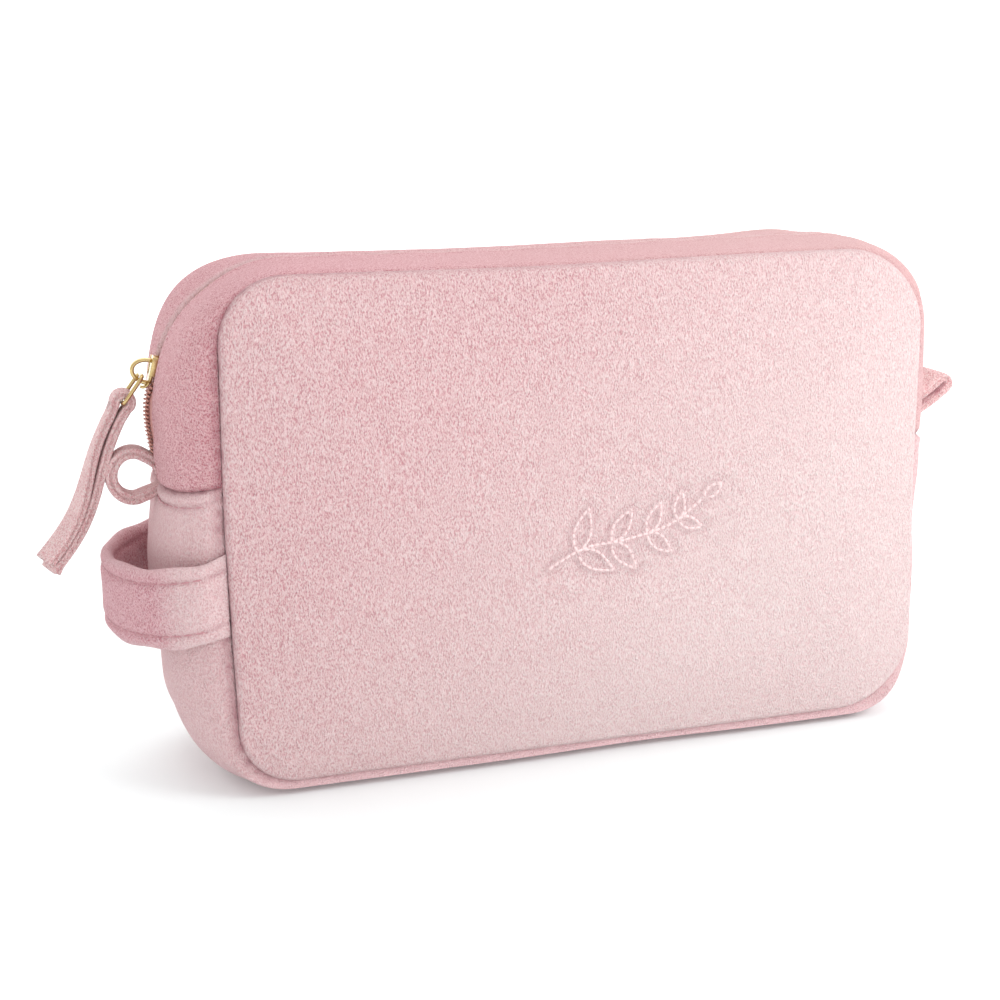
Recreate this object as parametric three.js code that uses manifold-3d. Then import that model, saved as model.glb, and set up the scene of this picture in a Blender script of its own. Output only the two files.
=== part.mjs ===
// Soft velvet makeup bag: a boxy pouch with a zip over its top, a side handle and a loop at each zip end.
// Units are millimetres, +Z up. The origin is the middle of the flat base, the front faces -Y.
import * as THREE from 'three';
import Module from 'manifold-3d';

const wasm = await Module();
wasm.setup();

// ---- driving dimensions ----
// The seam outline joins each big panel to the gusset. The crest outline is the gusset's fullest line,
// midway between the two panels, where the zip runs. Both are rounded rectangles in the XZ plane.
const SEAM = {
  left: -111, right: 111, bottom: 4, top: 154, radius: { tl: 20, tr: 26, br: 26, bl: 18 },
};
const CREST = {
  left: -126, right: 121, bottom: -1.2, top: 156, radius: { tl: 42, tr: 28, br: 24, bl: 28 },
};
const HALF_DEPTH = 36; // from the middle plane to each panel's seam
const JOIN_HEIGHT = 93; // where the zip gusset is sewn to the lower gusset
const WAIST = { depth: 1, spread: 8 }; // how far, and over what height, the join pulls the crest in
const BELLY = { height: 58, spread: 30, out: 2.6 }; // the left side's fullness below the join
const FLAT = { from: 62, to: 100, depth: 4 }; // the right side stands back, less so between these heights
const ROLL = { power: 3.2, exponent: 0.6 }; // the gusset's roll from the seam out to the crest
const GAP = 0.3;
const FAR = 400; // further than any part of the bag

const PANEL = { thickness: 2.5, crown: 5, power: 4, rings: [1, 0.93, 0.8, 0.5] };
const LINING = { thickness: 0.8, inset: 3.2 };
const GUSSET_THICKNESS = 1.9;
const BINDING = { inset: 4.4, size: 2.2 };

const ZIP = { clearance: 4.2, tapeThickness: 0.5, tapeHalfWidth: 13, tapeEdge: 0.9 };
const COIL = { inner: 1.2, outer: 2.9, top: 0.5, bottom: 1.9 };
const SLIDER = { length: 8.4, halfWidth: 3.6, wing: 1, above: 0.3, below: 3.5, along: 14.3 };
// Each corner of a slider wing, as shares of its half length and half width.
const WING_OUTLINE = [[-1, 0.62], [-0.35, 1], [0.8, 1], [1, 0.72]];
const POST = { halfWidth: 0.8, from: 0.5, to: 3.2, into: 0.2 };
const CROWN = { wire: 0.6, halfWidth: 0.9, halfSpan: 3.4, rise: 5.2, back: 0.8, lift: 0.05 };
const LINK = { wire: 0.55, halfWidth: 4.9, length: 9.9, corner: 1.6, tilt: 37.4, out: 3.6, drop: 2.2 };
const PULL = {
  leaf: 3, halfWidth: 4, length: 52.5, tilt: 27.5, fold: 0.9, foldTurn: [-40, 220], gap: 0.3, straight: 5.8,
};
const HANDLE = { reach: 30.8, depth: 38.4, thickness: 4.6, bottom: 51, top: 75, sag: 4.6, gap: 0.4 };
const RING_LOOP = {
  root: -126.45, centre: -132.55, radius: 6.95, band: 3.8, halfWidth: 4, mouth: 54, legs: 4.1, neck: 1.8,
};
const FLAT_LOOP = { root: 120.6, length: 24.5, band: 3.2, halfWidth: 4, legs: 4.4, rise: [12, 40] };

// ---- materials ----
const finish = (colour, roughness, metalness = 0) =>
  () => new THREE.MeshStandardMaterial({ color: colour, roughness, metalness });
const velvet = finish(0xe9bfc2, 0.95);
const darkVelvet = finish(0xd9a5ac, 0.95);
const satin = finish(0xe6c4c4, 0.5);
const tapeCloth = finish(0xdba9a6, 0.8);
const nylon = finish(0xd9a097, 0.45);
const gold = finish(0xe2c07a, 0.25, 1);

// ---- closed meshes from rings of points ----
const radians = (degrees) => degrees * Math.PI / 180;
const steps = (from, to, count) =>
  Array.from({ length: count + 1 }, (_, i) => from + (to - from) * i / count);
const WIRE_TURNS = steps(0, 315, 7).map(radians); // an eight-sided wire's corners

function solidFromTriangles(points, triangles) {
  const geometry = new THREE.BufferGeometry();
  const flat = points.flatMap((p) => [p.x, p.y, p.z]);
  geometry.setAttribute('position', new THREE.Float32BufferAttribute(flat, 3));
  let volume = 0;
  for (const [a, b, c] of triangles) {
    volume += points[a].dot(new THREE.Vector3().crossVectors(points[b], points[c]));
  }
  const outward = volume > 0 ? triangles : triangles.map(([a, b, c]) => [a, c, b]);
  geometry.setIndex(outward.flat());
  geometry.computeVertexNormals();
  return geometry;
}

// Joins equal rings one after another. An open sweep is capped. In a slab the first half of a ring faces
// its second half across a thin wall, so both faces are cut along the same diagonals.
function sweep(rings, { closed = false, slab = false } = {}) {
  const size = rings[0].length;
  const triangles = [];
  const last = closed ? rings.length : rings.length - 1;
  for (let r = 0; r < last; r += 1) {
    const next = (r + 1) % rings.length;
    for (let i = 0; i < size; i += 1) {
      const j = (i + 1) % size;
      const [a, b, c, d] = [r * size + i, r * size + j, next * size + j, next * size + i];
      const innerFace = slab && i >= size / 2;
      triangles.push(...(innerFace ? [[a, b, d], [b, c, d]] : [[a, b, c], [a, c, d]]));
    }
  }
  const cap = (ring, flip) => {
    const base = ring * size;
    const add = (a, b, c) => {
      const corners = flip ? [a, c, b] : [a, b, c];
      triangles.push(corners.map((corner) => base + corner));
    };
    for (let i = 0; slab && i < size / 2 - 1; i += 1) {
      add(i, size - 2 - i, i + 1);
      add(i, size - 1 - i, size - 2 - i);
    }
    for (let i = 1; !slab && i < size - 1; i += 1) {
      add(0, i + 1, i);
    }
  };
  if (!closed) {
    cap(0, false);
    cap(rings.length - 1, true);
  }
  return solidFromTriangles(rings.flat(), triangles);
}

// Rings closed at both ends on a single point, as a crowned disc is.
function closedDish(firstPole, rings, lastPole) {
  const size = rings[0].length;
  const triangles = [];
  for (let r = 0; r < rings.length - 1; r += 1) {
    for (let i = 0; i < size; i += 1) {
      const j = (i + 1) % size;
      const [a, b, c, d] = [r * size + i, r * size + j, (r + 1) * size + j, (r + 1) * size + i];
      triangles.push([a, b, c], [a, c, d]);
    }
  }
  const first = rings.length * size;
  const lastStart = (rings.length - 1) * size;
  for (let i = 0; i < size; i += 1) {
    const j = (i + 1) % size;
    triangles.push([first, j, i], [first + 1, lastStart + i, lastStart + j]);
  }
  return solidFromTriangles([...rings.flat(), firstPole, lastPole], triangles);
}

function toManifold(geometry) {
  return new wasm.Manifold(new wasm.Mesh({
    numProp: 3,
    vertProperties: new Float32Array(geometry.attributes.position.array),
    triVerts: new Uint32Array(geometry.index.array),
  }));
}

function fromManifold(solid) {
  const mesh = solid.getMesh();
  const geometry = new THREE.BufferGeometry();
  geometry.setAttribute('position', new THREE.Float32BufferAttribute(mesh.vertProperties, 3));
  geometry.setIndex(Array.from(mesh.triVerts));
  geometry.computeVertexNormals();
  return geometry;
}

function boxBetween(low, high) {
  const rectangle = [[low[1], low[2]], [high[1], low[2]], [high[1], high[2]], [low[1], high[2]]];
  const ends = [low[0], high[0]];
  return sweep(ends.map((x) => rectangle.map(([y, z]) => new THREE.Vector3(x, y, z))));
}

function keepBetween(geometry, low, high) {
  const slice = boxBetween([-FAR, -FAR, low], [FAR, FAR, high]);
  return fromManifold(toManifold(geometry).intersect(toManifold(slice)));
}

// ---- the two outlines, walked together ----
const CORNERS = {
  tl: { sx: -1, sz: 1, from: 180, to: 90 },
  tr: { sx: 1, sz: 1, from: 90, to: 0 },
  br: { sx: 1, sz: -1, from: 0, to: -90 },
  bl: { sx: -1, sz: -1, from: -90, to: -180 },
};

function cornerPoint(outline, name, degrees) {
  const { sx, sz } = CORNERS[name];
  const radius = outline.radius[name];
  const x = (sx < 0 ? outline.left : outline.right) - sx * radius;
  const z = (sz < 0 ? outline.bottom : outline.top) - sz * radius;
  return [x + radius * Math.cos(radians(degrees)), z + radius * Math.sin(radians(degrees))];
}

function cornerStations(name, count) {
  const { from, to } = CORNERS[name];
  return steps(from, to, count).map((degrees) => ({
    seam: cornerPoint(SEAM, name, degrees),
    crest: cornerPoint(CREST, name, degrees),
    normal: [Math.cos(radians(degrees)), Math.sin(radians(degrees))],
  }));
}

const sideStation = (side, height) => ({
  seam: [SEAM[side], height],
  crest: [CREST[side], height],
  normal: [side === 'left' ? -1 : 1, 0],
});

function between(a, b, count) {
  const mix = (p, q, t) => [p[0] + (q[0] - p[0]) * t, p[1] + (q[1] - p[1]) * t];
  return steps(0, 1, count).slice(1, -1).map((t) => ({
    seam: mix(a.seam, b.seam, t), crest: mix(a.crest, b.crest, t), normal: a.normal,
  }));
}

const bell = (x) => Math.exp(-x * x);

// How far the crest stands out past its outline at a height: the join pulls both sides in, the left side
// is fuller below it and the right side is flatter.
function fullness(side, height) {
  const waist = -WAIST.depth * bell((height - JOIN_HEIGHT) / WAIST.spread);
  const belly = BELLY.out * bell((height - BELLY.height) / BELLY.spread);
  const flattened = FLAT.depth * (THREE.MathUtils.smoothstep(height, FLAT.from, FLAT.to) - 1);
  return waist + (side < 0 ? belly : flattened);
}

function filled(station) {
  const [across] = station.normal;
  const crest = [station.crest[0] + across * fullness(across, station.crest[1]), station.crest[1]];
  return { ...station, crest };
}

function route(...legs) {
  const stations = [];
  for (const leg of legs) {
    const previous = stations.at(-1);
    if (previous && leg.run) {
      stations.push(...between(previous, leg.stations[0], leg.run));
    }
    stations.push(...leg.stations);
  }
  return stations.map(filled);
}

const above = JOIN_HEIGHT + GAP / 2;
const below = JOIN_HEIGHT - GAP / 2;
const upperRoute = route(
  { stations: [sideStation('left', above)] },
  { run: 4, stations: cornerStations('tl', 12) },
  { run: 3, stations: cornerStations('tr', 7) },
  { run: 3, stations: [sideStation('right', above)] },
);
const lowerRoute = route(
  { stations: [sideStation('right', below)] },
  { run: 4, stations: cornerStations('br', 6) },
  { run: 3, stations: cornerStations('bl', 6) },
  { run: 4, stations: [sideStation('left', below)] },
);
const wholeRoute = [...upperRoute, ...lowerRoute];

// ---- gusset layers ----
const roll = (y) => (1 - (Math.abs(y) / HALF_DEPTH) ** ROLL.power) ** ROLL.exponent;

// A point of the gusset's outer face at depth y, sunk inward by the given distance.
function gussetPoint(station, y, sink, floor) {
  const full = roll(y);
  const x = station.seam[0] + (station.crest[0] - station.seam[0]) * full - station.normal[0] * sink;
  const z = station.seam[1] + (station.crest[1] - station.seam[1]) * full - station.normal[1] * sink;
  return new THREE.Vector3(x, y, Math.max(z, floor));
}

function gussetLayer(stations, depths, outerSink, innerSink) {
  const rings = stations.map((station) => [
    ...depths.map((y) => gussetPoint(station, y, outerSink, outerSink)),
    ...[...depths].reverse().map((y) => gussetPoint(station, y, innerSink, innerSink)),
  ]);
  return sweep(rings, { slab: true });
}

// Each layer's section is taken at these depths from the middle plane, closest together by the seams.
const mirrored = (depths) => depths.map((y) => -y).reverse();
const FRONT_EDGE = -(HALF_DEPTH - GAP);
const frontHalfDepths = [FRONT_EDGE, -34.6, -32, -27, -17, -ZIP.clearance];
const fullDepths = [FRONT_EDGE, -34.6, -32, -26, -14, 0, 14, 26, 32, 34.6, -FRONT_EDGE];
const tapeTop = GUSSET_THICKNESS + GAP;
const tapeBottom = tapeTop + ZIP.tapeThickness;
const liningTop = tapeBottom + GAP;
const liningDepths = [-34.6, -32, -27, -17, -5.2];
const lowerLiningDepths = [-34.6, -32, -26, -14, 0, 14, 26, 32, 34.6];

const halfGusset = (depths) => gussetLayer(upperRoute, depths, 0, GUSSET_THICKNESS);
const tapeStrip = (depths) => gussetLayer(upperRoute, depths, tapeTop, tapeBottom);
const coilStrip = (depths) => gussetLayer(upperRoute, depths, COIL.top, COIL.bottom);
const liningStrip = (stations, depths, top) => gussetLayer(stations, depths, top, top + LINING.thickness);

const frontTape = [-ZIP.tapeHalfWidth, -7, -ZIP.tapeEdge];
const frontCoil = [-COIL.outer, -COIL.inner];

// ---- the big panels and their linings ----
const MIDDLE = [0, (SEAM.bottom + SEAM.top) / 2];

// A crowned plate: the outline shrinks towards the middle while its face swells outward.
function crownedPlate(side, inset, near, thickness) {
  const outline = wholeRoute.map(({ seam, normal }) => [
    seam[0] - normal[0] * inset, seam[1] - normal[1] * inset]);
  const crownAt = (q) => PANEL.crown * (1 - q ** PANEL.power);
  const ring = (q, offset) => outline.map(([x, z]) => new THREE.Vector3(
    MIDDLE[0] + (x - MIDDLE[0]) * q, side * (offset + crownAt(q)), MIDDLE[1] + (z - MIDDLE[1]) * q));
  const pole = (offset) => new THREE.Vector3(MIDDLE[0], side * (offset + PANEL.crown), MIDDLE[1]);
  const inward = PANEL.rings.map((q) => ring(q, near));
  const outward = [...PANEL.rings].reverse().map((q) => ring(q, near + thickness));
  return closedDish(pole(near + thickness), [...outward, ...inward], pole(near));
}

const panel = (side) => crownedPlate(side, 0, HALF_DEPTH, PANEL.thickness);
const liningNear = HALF_DEPTH - GAP - LINING.thickness;
const panelLining = (side) => crownedPlate(side, LINING.inset, liningNear, LINING.thickness);

// Bias tape over the raw seam edges inside the bag.
function binding(stations, side, closed) {
  const near = liningNear - GAP;
  const corners = [[BINDING.inset, near], [BINDING.inset, near - BINDING.size],
    [BINDING.inset + BINDING.size, near - BINDING.size], [BINDING.inset + BINDING.size, near]];
  const rings = stations.map(({ seam, normal }) => corners.map(([inset, y]) => new THREE.Vector3(
    seam[0] - normal[0] * inset, side * y, seam[1] - normal[1] * inset)));
  return sweep(rings, { closed });
}

// ---- straps made from a flat path in the XZ plane ----
// The band is centred on the path, with its width along Y.
function bandAlong(path, thickness, halfWidth) {
  const rings = path.map((point, i) => {
    const before = path[Math.max(i - 1, 0)];
    const after = path[Math.min(i + 1, path.length - 1)];
    const along = new THREE.Vector2(after[0] - before[0], after[1] - before[1]).normalize();
    const out = [-along.y * thickness / 2, along.x * thickness / 2];
    return [[1, -1], [1, 1], [-1, 1], [-1, -1]].map(([across, y]) => new THREE.Vector3(
      point[0] + across * out[0], y * halfWidth, point[1] + across * out[1]));
  });
  return sweep(rings);
}

// A round loop that stands out of the left join, open towards the bag.
function ringLoop() {
  const { root, centre, radius, mouth, legs, neck } = RING_LOOP;
  const turn = steps(mouth, 360 - mouth, 16).map((degrees) => [
    centre + radius * Math.cos(radians(degrees)), JOIN_HEIGHT + radius * Math.sin(radians(degrees))]);
  const leg = (sign) => [root, root - neck].map((x) => [x, JOIN_HEIGHT + sign * legs / 2]);
  return bandAlong([...leg(1), ...turn, ...leg(-1).reverse()], RING_LOOP.band, RING_LOOP.halfWidth);
}

// A loop pressed nearly flat that stands out of the right join and curves upward.
function flatLoop() {
  const { root, length, legs, rise } = FLAT_LOOP;
  const count = 8;
  const spine = [{ x: root, z: JOIN_HEIGHT, slope: radians(rise[0]) }];
  for (let i = 0; i < count; i += 1) {
    const { x, z } = spine[i];
    const slope = radians(rise[0] + (rise[1] - rise[0]) * (i + 0.5) / count);
    spine.push({ x: x + Math.cos(slope) * length / count, z: z + Math.sin(slope) * length / count, slope });
  }
  const beside = (sign) => spine.map(({ x, z, slope }) => [
    x - sign * Math.sin(slope) * legs / 2, z + sign * Math.cos(slope) * legs / 2]);
  const tip = spine.at(-1);
  const end = steps(90, -90, 6).slice(1, -1).map((degrees) => [
    tip.x + Math.cos(tip.slope + radians(degrees)) * legs / 2,
    tip.z + Math.sin(tip.slope + radians(degrees)) * legs / 2]);
  return bandAlong([...beside(1), ...end, ...beside(-1).reverse()], FLAT_LOOP.band, FLAT_LOOP.halfWidth);
}

// Half an oval in plan, whose middle hangs a little lower than its ends.
function sideHandle() {
  const rings = steps(-90, 90, 22).map((degrees) => {
    const out = [-Math.cos(radians(degrees)), Math.sin(radians(degrees))];
    const x = SEAM.left - HANDLE.gap + HANDLE.reach * out[0];
    const y = HANDLE.depth * out[1];
    const drop = HANDLE.sag * (1 - (1 + out[0]) ** 2);
    const slope = new THREE.Vector2(out[0] / HANDLE.reach, out[1] / HANDLE.depth).normalize();
    return [[1, 0], [1, 1], [-1, 1], [-1, 0]].map(([across, up]) => new THREE.Vector3(
      x + across * slope.x * HANDLE.thickness / 2,
      y + across * slope.y * HANDLE.thickness / 2,
      (up ? HANDLE.top : HANDLE.bottom) - drop));
  });
  return sweep(rings);
}

// ---- zip slider: modelled lying on the XY plane, zip along +X, outward +Z ----
function wing(bottom, top) {
  const half = SLIDER.length / 2;
  const loop = [...WING_OUTLINE, ...[...WING_OUTLINE].reverse().map(([x, w]) => [x, -w])];
  return sweep([bottom, top].map((z) => loop.map(([x, w]) => new THREE.Vector3(
    x * half, w * SLIDER.halfWidth, z))));
}

function sliderBody() {
  const outer = toManifold(wing(SLIDER.above, SLIDER.above + SLIDER.wing));
  const inner = toManifold(wing(-SLIDER.below - SLIDER.wing, -SLIDER.below));
  const post = toManifold(boxBetween(
    [POST.from, -POST.halfWidth, -SLIDER.below - POST.into],
    [POST.to, POST.halfWidth, SLIDER.above + POST.into]));
  return fromManifold(outer.add(inner).add(post));
}

function crown() {
  const base = SLIDER.above + SLIDER.wing + CROWN.lift;
  const rings = steps(180, 0, 8).map(radians).map((a) => {
    const middle = new THREE.Vector3(
      CROWN.halfSpan * Math.cos(a) - CROWN.back, 0, base + CROWN.rise * Math.sin(a));
    return WIRE_TURNS.map((turn) => {
      const out = CROWN.wire * Math.cos(turn);
      const across = CROWN.halfWidth * Math.sin(turn);
      return new THREE.Vector3(out * Math.cos(a), across, out * Math.sin(a)).add(middle);
    });
  });
  return sweep(rings);
}

// ---- pull link: a wire ring hanging along -Z from its top bar, and the folded velvet pull below it ----
function pullLink() {
  const { halfWidth, length, corner, wire } = LINK;
  const arcs = [[1, 0, 0], [1, -1, 270], [-1, -1, 180], [-1, 0, 90]];
  const path = arcs.flatMap(([sy, bottom, start]) => steps(start + 90, start, 3).map((degrees) => {
    const y = sy * (halfWidth - corner) + corner * Math.cos(radians(degrees));
    const z = (bottom ? -length + corner : -corner) + corner * Math.sin(radians(degrees));
    return new THREE.Vector2(y, z);
  }));
  const rings = path.map((point, i) => {
    const before = path[(i + path.length - 1) % path.length];
    const after = path[(i + 1) % path.length];
    const along = after.clone().sub(before).normalize();
    return WIRE_TURNS.map((turn) => {
      const side = wire * Math.cos(turn);
      return new THREE.Vector3(wire * Math.sin(turn), point.x - along.y * side, point.y + along.x * side);
    });
  });
  return sweep(rings, { closed: true });
}

function pullStrap() {
  const radius = PULL.fold + PULL.leaf / 2;
  const spread = (PULL.leaf + PULL.gap) / 2;
  const fold = steps(...PULL.foldTurn, 10).map((degrees) => [
    radius * Math.cos(radians(degrees)), radius * Math.sin(radians(degrees))]);
  const path = [[spread, -PULL.length], [spread, -PULL.length / 2], [spread, -PULL.straight], ...fold,
    [-spread, -PULL.straight], [-spread, -PULL.length / 2], [-spread, -PULL.length]];
  return bandAlong(path, PULL.leaf, PULL.halfWidth);
}

// ---- assembly ----
const bag = new THREE.Group();

function add(parent, name, geometry, material) {
  const mesh = new THREE.Mesh(geometry, material());
  mesh.name = name;
  parent.add(mesh);
}

add(bag, 'front_panel_lower', keepBetween(panel(-1), -FAR, below), velvet);
add(bag, 'front_panel_upper', keepBetween(panel(-1), above, FAR), velvet);
add(bag, 'back_panel', panel(1), velvet);
add(bag, 'lower_gusset', gussetLayer(lowerRoute, fullDepths, 0, GUSSET_THICKNESS), velvet);
add(bag, 'zip_gusset_front', halfGusset(frontHalfDepths), velvet);
add(bag, 'zip_gusset_back', halfGusset(mirrored(frontHalfDepths)), velvet);
add(bag, 'zip_tape_front', tapeStrip(frontTape), tapeCloth);
add(bag, 'zip_tape_back', tapeStrip(mirrored(frontTape)), tapeCloth);
add(bag, 'zip_coil_front', coilStrip(frontCoil), nylon);
add(bag, 'zip_coil_back', coilStrip(mirrored(frontCoil)), nylon);
add(bag, 'lining_front_lower', keepBetween(panelLining(-1), -FAR, below), satin);
add(bag, 'lining_front_upper', keepBetween(panelLining(-1), above, FAR), satin);
add(bag, 'lining_back', panelLining(1), satin);
add(bag, 'lining_gusset_lower', liningStrip(lowerRoute, lowerLiningDepths, tapeTop), satin);
add(bag, 'lining_gusset_front', liningStrip(upperRoute, liningDepths, liningTop), satin);
add(bag, 'lining_gusset_back', liningStrip(upperRoute, mirrored(liningDepths), liningTop), satin);
add(bag, 'binding_front_upper', binding(upperRoute, -1, false), darkVelvet);
add(bag, 'binding_front_lower', binding(lowerRoute, -1, false), darkVelvet);
add(bag, 'binding_back', binding(wholeRoute, 1, true), darkVelvet);
add(bag, 'side_handle', sideHandle(), velvet);
add(bag, 'end_loop_left', ringLoop(), velvet);
add(bag, 'end_loop_right', flatLoop(), velvet);

// The slider rests a little way up the top left corner, which it goes round about the corner's centre.
const cornerCentre = [CREST.left + CREST.radius.tl, CREST.top - CREST.radius.tl];
const outward = [-Math.cos(radians(SLIDER.along)), Math.sin(radians(SLIDER.along))];
const forward = [outward[1], -outward[0]];
const fromSlider = (ahead, out) => new THREE.Vector3(
  cornerCentre[0] + outward[0] * (CREST.radius.tl + out) + forward[0] * ahead, 0,
  cornerCentre[1] + outward[1] * (CREST.radius.tl + out) + forward[1] * ahead);
const slider = new THREE.Group();
slider.position.copy(fromSlider(0, 0));
slider.rotation.y = radians(SLIDER.along - 90);
add(slider, 'slider_body', sliderBody(), gold);
add(slider, 'slider_crown', crown(), gold);
bag.add(slider);

const linkPivot = fromSlider(-LINK.drop, LINK.out);
const link = new THREE.Group();
link.position.copy(linkPivot);
link.rotation.y = radians(LINK.tilt);
add(link, 'pull_link', pullLink(), gold);
bag.add(link);

const pull = new THREE.Group();
pull.position.set(
  linkPivot.x - LINK.length * Math.sin(radians(LINK.tilt)), 0,
  linkPivot.z - LINK.length * Math.cos(radians(LINK.tilt)));
pull.rotation.y = radians(PULL.tilt);
add(pull, 'pull_strap', pullStrap(), velvet);
bag.add(pull);

export default bag;
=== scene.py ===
"""Soft velvet makeup bag: the looks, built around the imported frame.

Shapes are worked out in millimetres in the frame's axes (+Z up, the front faces -Y) and become metres
only when a mesh is made.
"""
import math

import bpy
import numpy as np
from mathutils import Matrix, Vector


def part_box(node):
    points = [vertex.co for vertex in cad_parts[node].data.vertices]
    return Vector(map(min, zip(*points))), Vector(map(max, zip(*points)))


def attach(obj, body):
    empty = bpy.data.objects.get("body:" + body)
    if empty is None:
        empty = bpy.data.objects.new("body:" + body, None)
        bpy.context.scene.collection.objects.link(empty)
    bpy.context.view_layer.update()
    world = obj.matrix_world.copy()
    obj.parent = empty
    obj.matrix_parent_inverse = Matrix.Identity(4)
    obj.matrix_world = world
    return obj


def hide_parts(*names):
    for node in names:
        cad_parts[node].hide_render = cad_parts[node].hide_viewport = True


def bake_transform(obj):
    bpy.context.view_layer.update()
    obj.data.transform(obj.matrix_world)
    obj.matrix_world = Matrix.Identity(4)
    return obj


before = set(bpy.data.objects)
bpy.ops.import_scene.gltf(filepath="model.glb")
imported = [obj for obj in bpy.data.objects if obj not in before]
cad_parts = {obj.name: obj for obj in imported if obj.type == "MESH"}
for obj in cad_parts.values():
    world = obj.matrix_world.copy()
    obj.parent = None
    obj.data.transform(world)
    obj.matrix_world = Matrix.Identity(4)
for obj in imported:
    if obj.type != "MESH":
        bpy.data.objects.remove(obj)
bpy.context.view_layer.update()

MM = 0.001
TURN = 2 * math.pi

# ---------------------------------------------------------------- sizes, from the frame


def box_mm(node):
    """Lowest and highest corner of a CAD node, in millimetres."""
    low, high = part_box(node)
    return np.array(low) / MM, np.array(high) / MM


BACK_LOW, BACK_HIGH = box_mm("back_panel")
LOWER_HIGH = box_mm("lower_gusset")[1]
ZIP_HIGH = box_mm("zip_gusset_back")[1]

SEAM = {"left": BACK_LOW[0], "right": BACK_HIGH[0], "bottom": BACK_LOW[2], "top": BACK_HIGH[2]}
SEAM_RADIUS = {"tl": 20.0, "tr": 26.0, "br": 26.0, "bl": 18.0}
HALF_DEPTH = BACK_LOW[1]
JOIN = LOWER_HIGH[2] + 0.15
CREST = {"left": -126.0, "right": 121.0, "bottom": -1.2, "top": ZIP_HIGH[2]}
CREST_RADIUS = {"tl": 42.0, "tr": 28.0, "br": 24.0, "bl": 28.0}
ZIP_CORNER = np.array([CREST["left"] + CREST_RADIUS["tl"], CREST["top"] - CREST_RADIUS["tl"]])
SLIDER_TURN = math.radians(14.3)

VELVET = 2.1          # thickness of the foam-backed velvet
HEM = 4.5             # the top-stitching runs this far below the join
ZIP_SLOT = 2.7        # half the gap between the velvet edges over the zip

# ---------------------------------------------------------------- meshes from grids


def smoothstep(low, high, x):
    """0 below low, 1 above high, and a smooth S between them."""
    t = np.clip((x - low) / (high - low), 0, 1)
    return t * t * (3 - 2 * t)


def bell(x, width):
    """A bump of height 1 at x = 0 that fades out over width."""
    return np.exp(-(x / width) ** 2)


def quads(rows, columns, around=False):
    """Corner numbers of the faces of a grid; around joins the last column to the first."""
    r, c = np.meshgrid(np.arange(rows - 1), np.arange(columns if around else columns - 1), indexing="ij")
    right = (c + 1) % columns
    return np.stack([r * columns + c, r * columns + right,
                     (r + 1) * columns + right, (r + 1) * columns + c], -1).reshape(-1, 4)


def outward(points, faces):
    """The same faces, turned to point out of the closed mesh: its signed volume is made positive."""
    tris = np.concatenate([faces[:, [0, 1, 2]], faces[:, [0, 2, 3]]])
    a, b, c = (points[tris[:, k]] for k in range(3))
    return faces if np.einsum("ij,ij->i", a, np.cross(b, c)).sum() > 0 else faces[:, ::-1]


def make_piece(name, points, faces, material, slot, shade_and_highlight=None, whole=True):
    """A smooth mesh object in metres at the origin, from points in millimetres and four-cornered faces.
    The values given after the slot paint light into the colour: from 0 to 1 painted shade in a seam or
    groove, below 0 a painted highlight."""
    faces = outward(points, faces) if whole else faces
    mesh = bpy.data.meshes.new(name)
    mesh.from_pydata((points * MM).tolist(), [], faces.tolist())
    mesh.polygons.foreach_set("use_smooth", np.ones(len(mesh.polygons), bool))
    # the point attribute that carries the painted shade and highlight
    if shade_and_highlight is not None:
        depth = mesh.attributes.new("shade_and_highlight", "FLOAT", "POINT")
        depth.data.foreach_set("value", np.ascontiguousarray(shade_and_highlight, dtype=np.float32).ravel())
    piece = bpy.data.objects.new(name, mesh)
    bpy.context.scene.collection.objects.link(piece)
    mesh.materials.append(material)
    return piece


def wall_mesh(outer, inner):
    """Points and faces of a thin wall between two equal grids, closed round its four edges."""
    rows, columns = outer.shape[:2]
    size = rows * columns
    grid = quads(rows, columns)
    edge = np.concatenate([
        np.arange(columns),
        np.arange(1, rows) * columns + columns - 1,
        (rows - 1) * columns + np.arange(columns - 2, -1, -1),
        np.arange(rows - 2, 0, -1) * columns])
    after = np.roll(edge, -1)
    rim = np.stack([edge, edge + size, after + size, after], -1)
    faces = np.concatenate([grid, grid[:, ::-1] + size, rim])
    return np.concatenate([outer.reshape(-1, 3), inner.reshape(-1, 3)]), faces


def tube_mesh(rings, closed=False):
    """Points and faces of equal rings joined one after another, with the ends closed by a middle point."""
    count, around = rings.shape[:2]
    if closed:
        rings = np.concatenate([rings, rings[:1]])
        faces = quads(count + 1, around, around=True) % (count * around)
        return rings[:-1].reshape(-1, 3), faces
    points = rings.reshape(-1, 3)
    first, last = len(points), len(points) + 1
    ring = np.arange(0, around, 2)
    start = np.stack([np.full(len(ring), first), (ring + 2) % around, (ring + 1) % around, ring], -1)
    end = (count - 1) * around
    corners = [np.full(len(ring), last), ring + end, (ring + 1) % around + end, (ring + 2) % around + end]
    finish = np.stack(corners, -1)
    points = np.concatenate([points, rings[0].mean(0)[None], rings[-1].mean(0)[None]])
    return points, np.concatenate([quads(count, around, around=True), start, finish])


def joined(parts):
    """One set of points and faces from several closed ones, each turned outward by itself."""
    points, faces, start = [], [], 0
    for p, f in parts:
        points.append(p)
        faces.append(outward(p, f) + start)
        start += len(p)
    return np.concatenate(points), np.concatenate(faces)


def along_path(path, section, up):
    """Rings of a section carried along a path. The section's first axis lies across the path and up,
    its second lies along up."""
    tangent = np.gradient(path, axis=0)
    tangent /= np.linalg.norm(tangent, axis=1)[:, None]
    up = np.broadcast_to(np.asarray(up, float), path.shape)
    side = np.cross(tangent, up)
    side /= np.linalg.norm(side, axis=1)[:, None]
    rise = np.cross(side, tangent)
    section = np.broadcast_to(section, (len(path),) + section.shape[-2:])
    return path[:, None] + section[..., :1] * side[:, None] + section[..., 1:] * rise[:, None]


def round_bar(radius, sides=12):
    """A circle, as a section."""
    a = np.arange(sides) / sides * TURN
    return radius * np.stack([np.cos(a), np.sin(a)], -1)


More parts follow.
